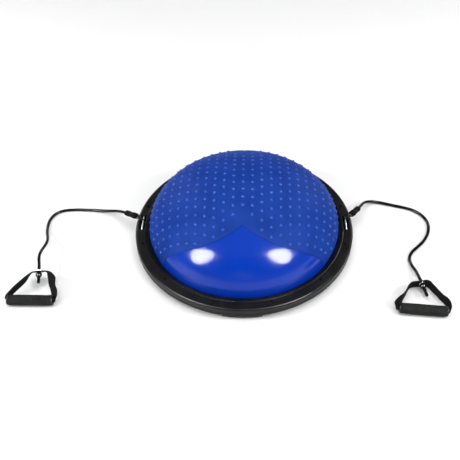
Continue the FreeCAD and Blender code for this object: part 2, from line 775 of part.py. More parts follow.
def make_sleeve(name, side):
    """Webbing sleeve: a neck round the ring, then the sewn barrel that holds the tube."""
    frame = sleeve_frame(side)
    body = doc.addObject("PartDesign::Body", name + "_sleeve")
    sketch = new_sketch(body, name + "_barrel_outline", "YZ_Plane", "sleeve_neck")
    half_width, half_depth = "sleeve_width / 2", "sleeve_depth / 2"
    outline(sketch, [
        ("- " + half_width, "- " + half_depth), (half_width, "- " + half_depth),
        (half_width, half_depth), ("- " + half_width, half_depth),
    ])
    barrel = padded(body, sketch, name + "_barrel", "sleeve_length - sleeve_neck")
    rounded(body, barrel, name + "_barrel_round", "sleeve_round",
            lambda edge: edge.BoundBox.XLength > 1)
    sketch = new_sketch(body, name + "_neck_outline", "YZ_Plane")
    half_width, half_depth = "neck_width / 2", "neck_depth / 2"
    outline(sketch, [
        ("- " + half_width, "- " + half_depth), (half_width, "- " + half_depth),
        (half_width, half_depth), ("- " + half_width, half_depth),
    ])
    padded(body, sketch, name + "_neck", "sleeve_neck")
    sketch = new_sketch(body, name + "_bore_outline", "YZ_Plane", "sleeve_length")
    circle(sketch, "0", "0", "tube_radius")
    pocketed(body, sketch, name + "_bore", "tube_grip + plug_length")
    sketch = new_sketch(body, name + "_ring_hole_outline", "XZ_Plane")
    circle(sketch, "ring_entry", "0", "ring_wire_radius + spin_gap")
    pocketed(body, sketch, name + "_ring_hole", "neck_width + %g" % OVERRUN, middle=True)
    body.Placement = frame
    node(name + "_band_sleeve", body)
    plug_end = "sleeve_length - tube_grip"
    plug = rod(name + "_plug", frame, plug_end + " - plug_length", plug_end, "tube_radius")
    node(name + "_tube_plug", plug)


# Handle

def grip_frame(side):
    """At the middle of the grip: +X along it, +Y towards the eyelet."""
    turn = Rotation(Z_AXIS, side["grip_yaw"]).multiply(Rotation(X_AXIS, side["grip_tilt"]))
    return Placement(side["grip"], turn)


def eyelet_frame(side):
    """At the middle of the eyelet: +X along the tube, from outside to inside the strap."""
    start, end = [Vector(*place) for place in side["loop"][side["apex"]:side["apex"] + 2]]
    run = end - start
    place = start + run * side["eyelet_along"]
    inward = Vector(run.y, -run.x, 0)
    local = Placement(place, Rotation(X_AXIS, inward))
    return grip_frame(side).multiply(local)


def make_strap(name, side):
    """The webbing on edge outside the grip core, and narrower where it runs through it."""
    across, half_thick = size("strap_half_length"), size("webbing_thickness / 2")
    run = [(-across, -half_thick)] + side["loop"] + [(across, -half_thick)]
    body = doc.addObject("PartDesign::Body", name + "_strap_body")
    sketch = new_sketch(body, name + "_strap_outline", "XY_Plane")
    strip_outline(sketch, [Vector(*place) for place in run], half_thick)
    padded(body, sketch, name + "_strap_pad", "webbing_width", middle=True)
    sketch = new_sketch(body, name + "_inner_outline", "XY_Plane")
    half = "webbing_thickness / 2"
    outline(sketch, [
        ("- strap_half_length", "- " + half), ("strap_half_length", "- " + half),
        ("strap_half_length", half), ("- strap_half_length", half),
    ])
    padded(body, sketch, name + "_inner_pad", "webbing_inner_width", middle=True)
    body.Placement = grip_frame(side)
    hole = rod(name + "_eyelet_hole", eyelet_frame(side), "- webbing_thickness",
               "webbing_thickness", "eyelet_barrel_radius")
    node(name + "_strap", boolean("Cut", name + "_strap_cut", body, hole))


def make_eyelet(name, side):
    """A grommet through the webbing, with a flange on each face."""
    half, face = "webbing_thickness / 2", "( webbing_thickness / 2 + eyelet_flange )"
    node(name + "_eyelet", turned(name + "_grommet", eyelet_frame(side), [
        ("eyelet_bore_radius", "- " + face), ("eyelet_flange_radius", "- " + face),
        ("eyelet_flange_radius", "- " + half), ("eyelet_barrel_radius", "- " + half),
        ("eyelet_barrel_radius", half), ("eyelet_flange_radius", half),
        ("eyelet_flange_radius", face), ("eyelet_bore_radius", face),
    ]))


def make_grip(name, side):
    """Stiff core, a washer on each end of it, and the foam that turns on it between them."""
    frame = grip_frame(side)
    half, gap, end_round = "foam_length / 2", "spin_gap", "foam_end_round"
    face = "( %s + %s )" % (half, gap)
    core_end = "( %s + washer_thickness )" % face
    node(name + "_grip_core", turned(name + "_core", frame, [
        ("core_bore_radius", "- " + core_end), ("core_radius", "- " + core_end),
        ("core_radius", core_end), ("core_bore_radius", core_end),
    ]))
    for label, inner, outer in (("inner", face, core_end),
                                ("outer", "- " + core_end, "- " + face)):
        node("%s_%s_washer" % (name, label), turned("%s_%s" % (name, label), frame, [
            ("core_radius", inner), ("washer_radius", inner),
            ("washer_radius", outer), ("core_radius", outer),
        ]))
    node(name + "_foam_grip", turned(name + "_foam", frame, [
        ("foam_bore_radius", "- " + half),
        ("foam_radius - " + end_round, "- " + half),
        ("foam_radius", "- %s + %s" % (half, end_round), end_round, -1),
        ("foam_radius", "%s - %s" % (half, end_round)),
        ("foam_radius - " + end_round, half, end_round, -1),
        ("foam_bore_radius", half),
    ]))


# Tube and stopper

def make_tube(name, side):
    frame = eyelet_frame(side)
    half_eyelet = size("webbing_thickness / 2 + eyelet_flange")
    stop = half_eyelet + 2 * size("spin_gap")
    sleeve = sleeve_frame(side)
    inside = size("sleeve_length - tube_grip")
    start = [Vector(inside, 0, 0), Vector(size("sleeve_length + tube_lead"), 0, 0)]
    finish = [Vector(-STOP_LEAD, 0, 0), Vector(stop, 0, 0)]
    points = [sleeve.multVec(place) for place in start]
    points += [Vector(*place) for place in side["route"]]
    points += [frame.multVec(place) for place in finish]
    print(name, "route", [tuple(round(c, 1) for c in point) for point in points])
    tube = doc.addObject("Part::Feature", name + "_tube_solid")
    tube.Shape = tube_shape(points, size("tube_radius"))
    node(name + "_tube", tube)
    make_stopper(name, frame.multiply(at(stop, 0, 0)))


def make_stopper(name, frame):
    """The ball that keeps the tube in the eyelet, then the tube's tail with its plug."""
    ball_end, tail = "2 * ball_half_length", name + "_tail_length"
    flat = "sqrt(ball_radius ^ 2 - ball_half_length ^ 2 )"
    node(name + "_stop_ball", turned(name + "_ball", frame, [
        ("0", "0"), (flat, "0"), (flat, ball_end, "ball_radius", -1), ("0", ball_end),
    ]))
    end = "%s + %s" % (ball_end, tail)
    cover = rod(name + "_tail_cover", frame, ball_end, end, "tube_radius")
    plug = rod(name + "_tail_filling", frame, end + " - tail_plug_length", end, "tail_bore_radius")
    node(name + "_tube_tail", boolean("Cut", name + "_tail_cut", cover, plug))
    node(name + "_tail_plug", plug)


# Build, check and write

pocket_tools, notch_tools = anchor_tools()
anchor_bars = make_anchor_bars()
make_platform(pocket_tools)
make_clamp_ring(pocket_tools, notch_tools, anchor_bars)
make_ring_screws()
make_bladder()
make_feet()
make_valve()
for side_name, side_data in SIDES.items():
    make_hook(side_name, side_data)
    make_link_ring(side_name, side_data)
    make_sleeve(side_name, side_data)
    make_tube(side_name, side_data)
    make_strap(side_name, side_data)
    make_eyelet(side_name, side_data)
    make_grip(side_name, side_data)
doc.recompute()

faults = [
    "%s: %s" % (thing.Name, " ".join(thing.State))
    for thing in doc.Objects if "Invalid" in thing.State or "Error" in thing.State
]
for piece in nodes:
    if piece.Shape.isNull() or not piece.Shape.isValid() or not piece.Shape.Solids:
        faults.append("%s has no valid solid" % piece.Label)
if faults:
    raise RuntimeError("; ".join(faults))

os.makedirs("parts", exist_ok=True)
for piece in nodes:
    piece.Shape.exportStep(os.path.join("parts", piece.Label + ".step"))
print(len(nodes), "nodes written")
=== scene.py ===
"""Looks of the balance dome trainer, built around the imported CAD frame. Metres, CAD axes."""
import math

import bmesh
import bpy
from mathutils import Matrix, Vector


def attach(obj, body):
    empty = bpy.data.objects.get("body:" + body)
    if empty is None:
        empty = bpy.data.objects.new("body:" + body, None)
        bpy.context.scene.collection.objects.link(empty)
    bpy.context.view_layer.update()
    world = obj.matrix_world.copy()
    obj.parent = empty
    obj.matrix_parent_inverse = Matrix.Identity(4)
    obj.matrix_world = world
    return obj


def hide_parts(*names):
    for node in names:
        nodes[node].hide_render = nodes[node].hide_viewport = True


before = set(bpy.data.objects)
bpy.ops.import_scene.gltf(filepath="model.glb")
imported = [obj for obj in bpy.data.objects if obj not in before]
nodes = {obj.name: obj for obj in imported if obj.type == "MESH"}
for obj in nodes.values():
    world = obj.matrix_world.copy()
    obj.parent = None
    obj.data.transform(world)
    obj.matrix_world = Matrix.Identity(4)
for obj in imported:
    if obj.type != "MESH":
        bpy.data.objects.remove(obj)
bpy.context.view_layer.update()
MM = 0.001
SIDE_NAMES = ("left", "right")


# Camera

camera_data = bpy.data.cameras.new("camera")
camera_data.lens = 53.2
camera_data.sensor_width = 36
camera_data.clip_end = 100
camera = bpy.data.objects.new("camera", camera_data)
bpy.context.scene.collection.objects.link(camera)
CAMERA_PLACE = Vector((0.0321, -1.2953, 1.3211))
CAMERA_YAW, CAMERA_PITCH, CAMERA_ROLL = 3.07, 44.854, -2.09
camera.matrix_world = (
    Matrix.Translation(CAMERA_PLACE)
    @ Matrix.Rotation(math.radians(CAMERA_YAW), 4, "Z")
    @ Matrix.Rotation(math.radians(CAMERA_PITCH), 4, "X")
    @ Matrix.Rotation(math.radians(CAMERA_ROLL), 4, "Z")
)
bpy.context.scene.camera = camera
bpy.context.scene.view_settings.view_transform = "Standard"


# Node materials

class Surface:
    """A node material, built from layers of noise, cells and waves in the piece's own space."""

    def __init__(self, name, **constants):
        self.material = bpy.data.materials.new(name)
        self.material.use_nodes = True
        self.tree = self.material.node_tree
        self.shader = self.tree.nodes["Principled BSDF"]
        for socket, value in constants.items():
            self.shader.inputs[socket.replace("_", " ")].default_value = value
        self.place = self.add("ShaderNodeTexCoord").outputs["Object"]
        self.last_bump = None

    def add(self, kind, **settings):
        node = self.tree.nodes.new(kind)
        for key, value in settings.items():
            setattr(node, key, value)
        return node

    def feed(self, socket, value):
        if isinstance(value, bpy.types.NodeSocket):
            self.tree.links.new(value, socket)
        else:
            socket.default_value = value

    def stretched(self, scale, vector=None):
        node = self.add("ShaderNodeMapping")
        self.feed(node.inputs["Vector"], vector or self.place)
        node.inputs["Scale"].default_value = scale
        return node.outputs["Vector"]

    def attribute(self, name):
        return self.add("ShaderNodeAttribute", attribute_name=name).outputs["Vector"]

    def noise(self, scale, detail=3, vector=None):
        node = self.add("ShaderNodeTexNoise")
        self.feed(node.inputs["Vector"], vector or self.place)
        node.inputs["Scale"].default_value = scale
        node.inputs["Detail"].default_value = detail
        return node.outputs["Fac"]

    def cells(self, scale, feature="F1", vector=None):
        node = self.add("ShaderNodeTexVoronoi", feature=feature)
        self.feed(node.inputs["Vector"], vector or self.place)
        node.inputs["Scale"].default_value = scale
        return node.outputs["Distance"]

    def part(self, vector, axis):
        node = self.add("ShaderNodeSeparateXYZ")
        self.feed(node.inputs[0], vector)
        return node.outputs[axis]

    def calc(self, operation, *values):
        node = self.add("ShaderNodeMath", operation=operation)
        for socket, value in zip(node.inputs, values):
            self.feed(socket, value)
        return node.outputs[0]

    def span(self, value, low, high, start=0.0, end=1.0):
        """Value from start to end, spread over low to high."""
        node = self.add("ShaderNodeMapRange")
        self.feed(node.inputs["Value"], value)
        node.inputs["From Min"].default_value = start
        node.inputs["From Max"].default_value = end
        node.inputs["To Min"].default_value = low
        node.inputs["To Max"].default_value = high
        return node.outputs["Result"]

    def blend(self, factor, low, high):
        node = self.add("ShaderNodeMix", data_type="RGBA")
        colours = [s for s in node.inputs if s.type == "RGBA"]
        self.feed(node.inputs[0], factor)
        for socket, value in zip(colours, (low, high)):
            self.feed(socket, value if isinstance(value, bpy.types.NodeSocket) else (*value, 1))
        return [s for s in node.outputs if s.type == "RGBA"][0]

    def colour(self, value):
        self.feed(self.shader.inputs["Base Color"], value)

    def rough(self, value, low, high, start=0.3, end=0.7):
        self.feed(self.shader.inputs["Roughness"], self.span(value, low, high, start, end))

    def relief(self, height, depth):
        """Adds relief of that depth in metres over what the surface has."""
        node = self.add("ShaderNodeBump")
        node.inputs["Strength"].default_value = 1
        node.inputs["Distance"].default_value = depth
        self.feed(node.inputs["Height"], height)
        if self.last_bump:
            self.feed(node.inputs["Normal"], self.last_bump)
        self.last_bump = node.outputs["Normal"]
        self.feed(self.shader.inputs["Normal"], self.last_bump)


def moulded(name, dark, light, rough, grain=2600, depth=0.00003, **constants):
    """Moulded plastic or rubber: a fine pressed grain, cloudy gloss and small scuffs."""
    surface = Surface(name, **constants)
    cloud = surface.noise(22, 4)
    fleck = surface.noise(900, 2)
    mixed = surface.calc("MULTIPLY_ADD", fleck, 0.35, surface.calc("MULTIPLY", cloud, 0.65))
    surface.colour(surface.blend(surface.span(mixed, 0, 1, 0.35, 0.65), dark, light))
    surface.rough(surface.calc("ADD", surface.calc("MULTIPLY", cloud, 0.6),
                               surface.calc("MULTIPLY", fleck, 0.4)), *rough)
    surface.relief(surface.noise(grain, 2), depth)
    surface.relief(surface.noise(60, 2), depth * 4)
    return surface.material


def metal(name, dark, light, rough, along=(1, 1, 1), depth=0.000006):
    """Plated or blackened metal with fine draw marks and duller patches."""
    surface = Surface(name, Metallic=1.0)
    marks = surface.noise(1500, 3, surface.stretched(along))
    patches = surface.noise(140, 3)
    surface.colour(surface.blend(surface.span(patches, 0, 1, 0.3, 0.7), dark, light))
    surface.rough(surface.calc("MULTIPLY_ADD", marks, 0.5,
                               surface.calc("MULTIPLY", patches, 0.5)), *rough)
    surface.relief(marks, depth)
    return surface.material


def smooth_vinyl():
    """Glossy inflated vinyl: cloudy colour and a faint flow of the mould."""
    surface = Surface("dome_gloss", Specular_IOR_Level=0.22)
    cloud = surface.noise(9, 3)
    surface.colour(surface.blend(surface.span(cloud, 0, 1, 0.35, 0.65),
                                 (0.0010, 0.0250, 0.275), (0.0016, 0.0285, 0.305)))
    surface.rough(surface.noise(70, 4), 0.12, 0.18)
    surface.relief(surface.noise(26, 2), 0.00012)
    surface.relief(surface.noise(1400, 2), 0.000004)
    return surface.material


def grained_vinyl():
    """Matte vinyl with a pebbled grain, lighter on its worn high points."""
    surface = Surface("dome_matte", Specular_IOR_Level=0.025)
    grain = surface.noise(1150, 3)
    cloud = surface.noise(13, 3)
    tone = surface.calc("MULTIPLY_ADD", grain, 0.55, surface.calc("MULTIPLY", cloud, 0.45))
    surface.colour(surface.blend(surface.span(tone, 0, 1, 0.36, 0.64),
                                 (0.0035, 0.023, 0.172), (0.0095, 0.042, 0.262)))
    surface.rough(tone, 0.46, 0.60)
    surface.relief(grain, 0.00022)
    surface.relief(surface.noise(420, 2), 0.00016)
    return surface.material


def webbing(name, dark, light, rib=0.0016):
    """Flat nylon webbing: ribs across it, warp threads along it, a firmer selvedge."""
    surface = Surface(name, Specular_IOR_Level=0.04)
    weave = surface.attribute("weave")
    along, across = surface.part(weave, 0), surface.part(weave, 1)
    thread = 2 * math.pi / rib
    rows = surface.calc("SINE", surface.calc("MULTIPLY", along, thread))
    warps = surface.calc("SINE", surface.calc("MULTIPLY", across, thread * 1.25))
    cloth = surface.calc("MULTIPLY", rows, warps)
    height = surface.span(cloth, 0, 1, -1, 1)
    fuzz = surface.noise(2600, 2)
    tone = surface.calc("MULTIPLY_ADD", fuzz, 0.5, surface.calc("MULTIPLY", height, 0.5))
    surface.colour(surface.blend(surface.span(tone, 0, 1, 0.2, 0.8), dark, light))
    surface.rough(tone, 0.55, 0.75, 0.2, 0.8)
    surface.relief(height, 0.00028)
    surface.relief(fuzz, 0.00006)
    return surface.material


def foam():
    """Closed-cell grip foam: pores, a dusty bloom and pressed patches."""
    surface = Surface("grip_foam_cells", Specular_IOR_Level=0.035)
    pores = surface.cells(950)
    bloom = surface.noise(420, 4)
    patch = surface.noise(55, 3)
    tone = surface.calc("MULTIPLY_ADD", bloom, 0.6, surface.calc("MULTIPLY", patch, 0.4))
    surface.colour(surface.blend(surface.span(tone, 0, 1, 0.36, 0.64),
                                 (0.006, 0.0066, 0.006), (0.020, 0.0215, 0.020)))
    surface.rough(bloom, 0.72, 0.92)
    surface.relief(pores, 0.00030)
    surface.relief(bloom, 0.00025)
    return surface.material


def latex():
    """Dipped rubber tube: soft gloss, a trace of powder, fine lengthwise flow."""
    surface = Surface("band_tube", Specular_IOR_Level=0.12)
    powder = surface.noise(260, 4)
    surface.colour(surface.blend(surface.span(powder, 0, 1, 0.4, 0.75),
                                 (0.0015, 0.0015, 0.0017), (0.008, 0.008, 0.0085)))
    surface.rough(powder, 0.16, 0.30)
    surface.relief(surface.noise(700, 2), 0.00004)
    return surface.material


def studio_floor():
    """Pale matt floor, slightly uneven in tone."""
    surface = Surface("studio_floor")
    cloud = surface.noise(1.4, 3)
    surface.colour(surface.blend(cloud, (0.69, 0.69, 0.69), (0.72, 0.72, 0.72)))
    surface.rough(surface.noise(40, 3), 0.55, 0.7)
    return surface.material


def nubs_painted_highlight():
    """The nubs' polished tips: the same vinyl, glossier than its skin; their lighter blue colour is
    a painted highlight.
    """
    surface = Surface("dome_nubs_painted_highlight", Specular_IOR_Level=0.11)
    grain = surface.noise(900, 3)
    # Painted highlight: the nubs' base colour is a lighter blue than the matte skin's, standing in
    # for the light they catch.
    surface.colour(surface.blend(surface.span(grain, 0, 1, 0.35, 0.65),
                                 (0.006, 0.042, 0.28), (0.016, 0.074, 0.43)))
    surface.rough(grain, 0.26, 0.40)
    surface.relief(grain, 0.00006)
    return surface.material


GLOSS = smooth_vinyl()
NUBS = nubs_painted_highlight()
MATTE = grained_vinyl()
STRAP = webbing("strap_webbing", (0.0012, 0.0012, 0.0012), (0.008, 0.0082, 0.008))
SLEEVE = webbing("sleeve_cloth", (0.0012, 0.0012, 0.0012), (0.007, 0.007, 0.007), 0.0013)
THREAD = moulded("stitch_thread", (0.003, 0.003, 0.003), (0.016, 0.016, 0.016), (0.45, 0.7), 3000,
                 Specular_IOR_Level=0.2)
FOAM = foam()
TUBE = latex()
NICKEL = metal("dark_nickel", (0.33, 0.33, 0.33), (0.62, 0.62, 0.63), (0.18, 0.34))
PLATFORM = moulded("platform_plastic", (0.004, 0.004, 0.004), (0.010, 0.010, 0.010), (0.36, 0.5),
                    Specular_IOR_Level=0.11)
RING = moulded("ring_plastic", (0.0018, 0.0018, 0.0018), (0.0055, 0.0055, 0.0052), (0.30, 0.42),
                Specular_IOR_Level=0.18)
RUBBER = moulded("foot_rubber", (0.006, 0.006, 0.006), (0.018, 0.018, 0.018), (0.6, 0.8), 1800,
                 0.00008, Specular_IOR_Level=0.25)
VALVE = moulded("valve_rubber", (0.010, 0.045, 0.30), (0.022, 0.075, 0.44), (0.3, 0.5))
PLUG = moulded("plug_plastic", (0.014, 0.014, 0.015), (0.03, 0.03, 0.031), (0.3, 0.45))
BALL = moulded("ball_plastic", (0.002, 0.002, 0.002), (0.006, 0.006, 0.006), (0.12, 0.22), 1500,
               0.00001)
CORE = moulded("core_plastic", (0.003, 0.003, 0.003), (0.010, 0.010, 0.010), (0.35, 0.5),
               Specular_IOR_Level=0.3)
SCREW = metal("screw_black", (0.012, 0.012, 0.012), (0.035, 0.035, 0.035), (0.3, 0.5))
CHROME = metal("bar_chrome", (0.78, 0.78, 0.78), (0.93, 0.93, 0.93), (0.26, 0.40), (1, 0.04, 1))
HOOK = metal("hook_black", (0.010, 0.010, 0.010), (0.035, 0.035, 0.035), (0.22, 0.42))
SPRING = metal("spring_steel", (0.42, 0.42, 0.42), (0.60, 0.60, 0.60), (0.2, 0.35))


# Mesh pieces

def face_outwards(mesh):
    """Turns every face the same way round, with its front outside."""
    shell = bmesh.new()
    shell.from_mesh(mesh)
    bmesh.ops.recalc_face_normals(shell, faces=shell.faces)
    shell.to_mesh(mesh)
    shell.free()
    mesh.update()


def piece(name, points, faces, materials, body, indices=None, weave=None):
    """A smooth mesh piece in the row frame, riding on a body."""
    mesh = bpy.data.meshes.new(name)
    mesh.from_pydata(points, [], faces)
    for material in materials:
        mesh.materials.append(material)
    mesh.polygons.foreach_set("use_smooth", [True] * len(faces))
    if indices:
        mesh.polygons.foreach_set("material_index", indices)
    if weave:
        layer = mesh.attributes.new("weave", "FLOAT_VECTOR", "POINT")
        layer.data.foreach_set("vector", [value for row in weave for value in row])
    face_outwards(mesh)
    obj = bpy.data.objects.new(name, mesh)
    bpy.context.scene.collection.objects.link(obj)
    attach(obj, body)
    return obj


def loft_faces(rows, count, start=0, closed=True, caps=False):
    """Faces through rows of count points each, numbered from start."""
    faces = []
    last = count if closed else count - 1
    for i in range(rows - 1):
        for j in range(last):
            a = start + i * count + j
            b = start + i * count + (j + 1) % count
            faces.append((a, b, b + count, a + count))
    if caps:
        faces.append(tuple(start + j for j in reversed(range(count))))
        faces.append(tuple(start + (rows - 1) * count + j for j in range(count)))
    return faces


def smooth_rows(rows, steps):
    """Rows of numbers run through a Catmull-Rom curve, steps rows for each gap."""
    result = []
    for i in range(len(rows) - 1):
        a, b, c, d = (rows[min(max(i + k, 0), len(rows) - 1)] for k in (-1, 0, 1, 2))
        for step in range(steps):
            t = step / steps
            result.append([
                0.5 * (2 * q + (r - p) * t + (2 * p - 5 * q + 4 * r - s) * t * t
                       + (3 * q - p - 3 * r + s) * t ** 3)
                for p, q, r, s in zip(a, b, c, d)
            ])
    result.append(list(rows[-1]))
    return result


# Dome: profile of the CAD shell, in millimetres from the floor

DOME_TOP, DOME_FOOT = 184, 38.5
CROWN_RADIUS, CROWN_EDGE, CROWN_EDGE_HEIGHT = 398.43, 193.69, 133.75
SHOULDER_RADIUS, SHOULDER_CENTRE = 109, 140.7
CROWN_ARC = CROWN_RADIUS * math.asin(CROWN_EDGE / CROWN_RADIUS)
SHOULDER_START = math.atan2(CROWN_EDGE_HEIGHT - DOME_FOOT, CROWN_EDGE - SHOULDER_CENTRE)
DOME_ARC = CROWN_ARC + SHOULDER_RADIUS * SHOULDER_START


def dome_section(arc):
    """(radius, height, outward slope) at that arc length from the top of the dome."""
    if arc < CROWN_ARC:
        angle = arc / CROWN_RADIUS
        height = DOME_TOP - CROWN_RADIUS * (1 - math.cos(angle))
        return CROWN_RADIUS * math.sin(angle), height, angle
    angle = SHOULDER_START - (arc - CROWN_ARC) / SHOULDER_RADIUS
    radius = SHOULDER_CENTRE + SHOULDER_RADIUS * math.cos(angle)
    return radius, DOME_FOOT + SHOULDER_RADIUS * math.sin(angle), math.pi / 2 - angle


def on_dome(arc, heading, lift=0.0):
    """The point at that arc length and heading, lifted off the shell, in metres."""
    radius, height, slope = dome_section(arc)
    radius += lift * math.sin(slope)
    height += lift * math.cos(slope)
    return Vector((radius * math.cos(heading), radius * math.sin(heading), height)) * MM


def arc_at(radius):
    """Arc length from the top of the dome to that radius."""
    if radius < CROWN_EDGE:
        return CROWN_RADIUS * math.asin(radius / CROWN_RADIUS)
    offset = min((radius - SHOULDER_CENTRE) / SHOULDER_RADIUS, 1)
    return CROWN_ARC + SHOULDER_RADIUS * (SHOULDER_START - math.acos(offset))


# The matte panels: two discs in plan, which meet in a cusp at the front and at the back
PANEL_OFFSET, PANEL_RADIUS, PANEL_LIFT = 115, 171.5, 1.4
PANEL_BACK_STRETCH = 1.55
PANEL_FOOT_GAP = 3
# The step at a panel's edge: how far past the edge, and how far off the shell
PANEL_STEP = ((-0.5, PANEL_LIFT), (-0.1, PANEL_LIFT - 0.2), (0.2, PANEL_LIFT - 0.7), (0.3, -0.4))
HEM_RADIUS, HEM_HEIGHTS = 249.8, (34, 28)
# Nubs: columns along the dome, with rows that bow back towards the sides
NUB_COLUMN, NUB_PITCH, NUB_START = 24, 26.4, -20
NUB_PROFILE = ((0, 2.8), (1.2, 2.55), (2.1, 1.9), (2.8, 1.0), (3.5, 0.3), (4.5, -0.4))
NUB_ROW_BOW = 0.0012
NUB_EDGE_GAP = 9
NUB_NOTCH_GAP = 31


def panel_reach(heading):
    """Plan radius of the matte panels' edge at that heading."""
    across, along = abs(math.cos(heading)), math.sin(heading)
    if along > 0:
        along /= PANEL_BACK_STRETCH
    scale = across ** 2 + along ** 2
    inside = PANEL_RADIUS ** 2 - PANEL_OFFSET ** 2
    lead = PANEL_OFFSET * across
    reach = (lead + math.sqrt(lead ** 2 + scale * inside)) / scale
    return min(reach, dome_section(DOME_ARC - PANEL_FOOT_GAP)[0])


def add_shell(points, faces, around=256, rings=72):
    """The smooth shell, with its hem tucked in below the ring's lip."""
    headings = [2 * math.pi * j / around for j in range(around)]
    points.append(on_dome(0, 0))
    for k in range(rings):
        arc = DOME_ARC * (k + 1) / rings
        points.extend(on_dome(arc, heading) for heading in headings)
    for height in HEM_HEIGHTS:
        points.extend(Vector((HEM_RADIUS * math.cos(heading), HEM_RADIUS * math.sin(heading),
                              height)) * MM for heading in headings)
    faces.extend((0, 1 + j, 1 + (j + 1) % around) for j in range(around))
    faces.extend(loft_faces(rings + len(HEM_HEIGHTS), around, 1))


def add_panels(points, faces, around=384, rings=64):
    """The raised matte skin, from the top of the dome to its crisp stepped edge."""
    start = len(points)
    points.append(on_dome(0, 0, PANEL_LIFT))
    rows = [((k + 1) / rings, 0, PANEL_LIFT) for k in range(rings - 1)]
    rows += [(1, beyond, lift) for beyond, lift in PANEL_STEP]
    for share, beyond, lift in rows:
        for j in range(around):
            heading = 2 * math.pi * j / around
            arc = arc_at(panel_reach(heading)) * share + beyond
            points.append(on_dome(arc, heading, lift))
    faces.extend((start, start + 1 + j, start + 1 + (j + 1) % around) for j in range(around))
    faces.extend(loft_faces(len(rows), around, start + 1))


def nub_places():
    """(arc length, heading) of each nub, clear of the panels' edge and of their two notches."""
    columns = int(DOME_ARC / NUB_COLUMN)
    rows = int(DOME_ARC / NUB_PITCH) + 2
    for column in range(-columns, columns + 1):
        shift = 0 if abs(column) <= 1 else (abs(column) - 1) % 2 * NUB_PITCH / 2
        for row in range(-rows, rows + 1):
            across = column * NUB_COLUMN
            along = NUB_START + shift + row * NUB_PITCH - NUB_ROW_BOW * across ** 2
            arc, heading = math.hypot(across, along), math.atan2(along, across)
            notch = math.copysign(arc_at(panel_reach(math.copysign(math.pi / 2, along))), along)
            gap = math.hypot(across, (along - notch) / (PANEL_BACK_STRETCH if notch > 0 else 1))
            inside = arc < arc_at(panel_reach(heading)) - NUB_EDGE_GAP
            if arc < DOME_ARC and inside and gap > NUB_NOTCH_GAP:
                yield arc, heading


def add_nubs(points, faces, around=12):
    """A small round-topped cone at each place, square to the skin."""
    for arc, heading in nub_places():
        start = len(points)
        base, above = on_dome(arc, heading, PANEL_LIFT), on_dome(arc, heading, PANEL_LIFT + 1)
        normal = (above - base).normalized()
        side = normal.orthogonal().normalized()
        other = normal.cross(side)
        points.append(base + normal * NUB_PROFILE[0][1] * MM)
        for radius, height in NUB_PROFILE[1:]:
            for j in range(around):
                turn = 2 * math.pi * j / around
                spread = side * math.cos(turn) + other * math.sin(turn)
                points.append(base + (spread * radius + normal * height) * MM)
        faces.extend((start, start + 1 + j, start + 1 + (j + 1) % around) for j in range(around))
        faces.extend(loft_faces(len(NUB_PROFILE) - 1, around, start + 1))


def make_dome():
    """Glossy shell, matte panels and nubs, in one piece with three materials."""
    points, faces = [], []
    add_shell(points, faces)
    smooth_count = len(faces)
    add_panels(points, faces)
    panel_count = len(faces) - smooth_count
    add_nubs(points, faces)
    nub_count = len(faces) - smooth_count - panel_count
    indices = [0] * smooth_count + [1] * panel_count + [2] * nub_count
    dome = piece("dome_shell", points, faces, [GLOSS, MATTE, NUBS], "base",
                 indices)
    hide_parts("bladder")


# Free tubes

TUBE_DIAMETER = 0.008
TUBE_ROUTES = {
    "left": (
        (-309.8, 39.7, 37.7), (-332.2, 52.6, 35), (-358, 74, 18), (-386, 83.5, 9),
        (-417, 90, 4.6), (-450, 93, 4.2), (-483, 93.5, 4.2), (-513, 90, 4.2), (-534, 76, 4.2),
        (-544, 53, 4.2), (-544.5, 27, 4.4), (-540, 1, 7), (-531, -24, 15), (-524, -49, 25),
        (-523.5, -73, 32), (-529, -96, 35), (-529.5, -118, 36.5), (-521.8, -146.3, 34.9),
        (-519.1, -167.3, 30.2),
    ),
    "right": (
        (302.6, 54.6, 36.7), (318.2, 75.1, 33.1), (334, 109, 18), (354.5, 124, 8.5),
        (380, 124, 4.4), (409, 114, 4.2), (439, 105, 4.2), (467, 94.5, 4.2), (488, 77, 4.2),
        (500.5, 53, 4.2), (502, 26.5, 4.2), (495, 0, 4.2), (480, -26.5, 4.2),
        (460.5, -48, 4.2), (440, -68, 4.2), (430, -91, 4.2), (432.5, -115, 5.5),
        (439.5, -137, 9.5), (443.7, -164.2, 13.6), (446.9, -185.7, 13.6),
    ),
}


def make_tube(side):
    """The free tube from the sleeve to the handle's eyelet."""
    route = TUBE_ROUTES[side]
    curve = bpy.data.curves.new(side + "_tube_line", "CURVE")
    curve.dimensions = "3D"
    spline = curve.splines.new("NURBS")
    spline.points.add(len(route) - 1)
    for point, place in zip(spline.points, route):
        point.co = (*(Vector(place) * MM), 1)
    spline.order_u = 3
    spline.use_endpoint_u = True
    spline.resolution_u = 14
    curve.bevel_depth = TUBE_DIAMETER / 2
    curve.bevel_resolution = 6
    curve.use_fill_caps = True
    curve.materials.append(TUBE)
    tube = bpy.data.objects.new(side + "_band_tube", curve)
    bpy.context.scene.collection.objects.link(tube)
    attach(tube, side + "_band")
    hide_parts(side + "_tube")
    Vector(route[0]) * MM


# Sleeves: webbing folded over the link ring and sewn shut around the tube

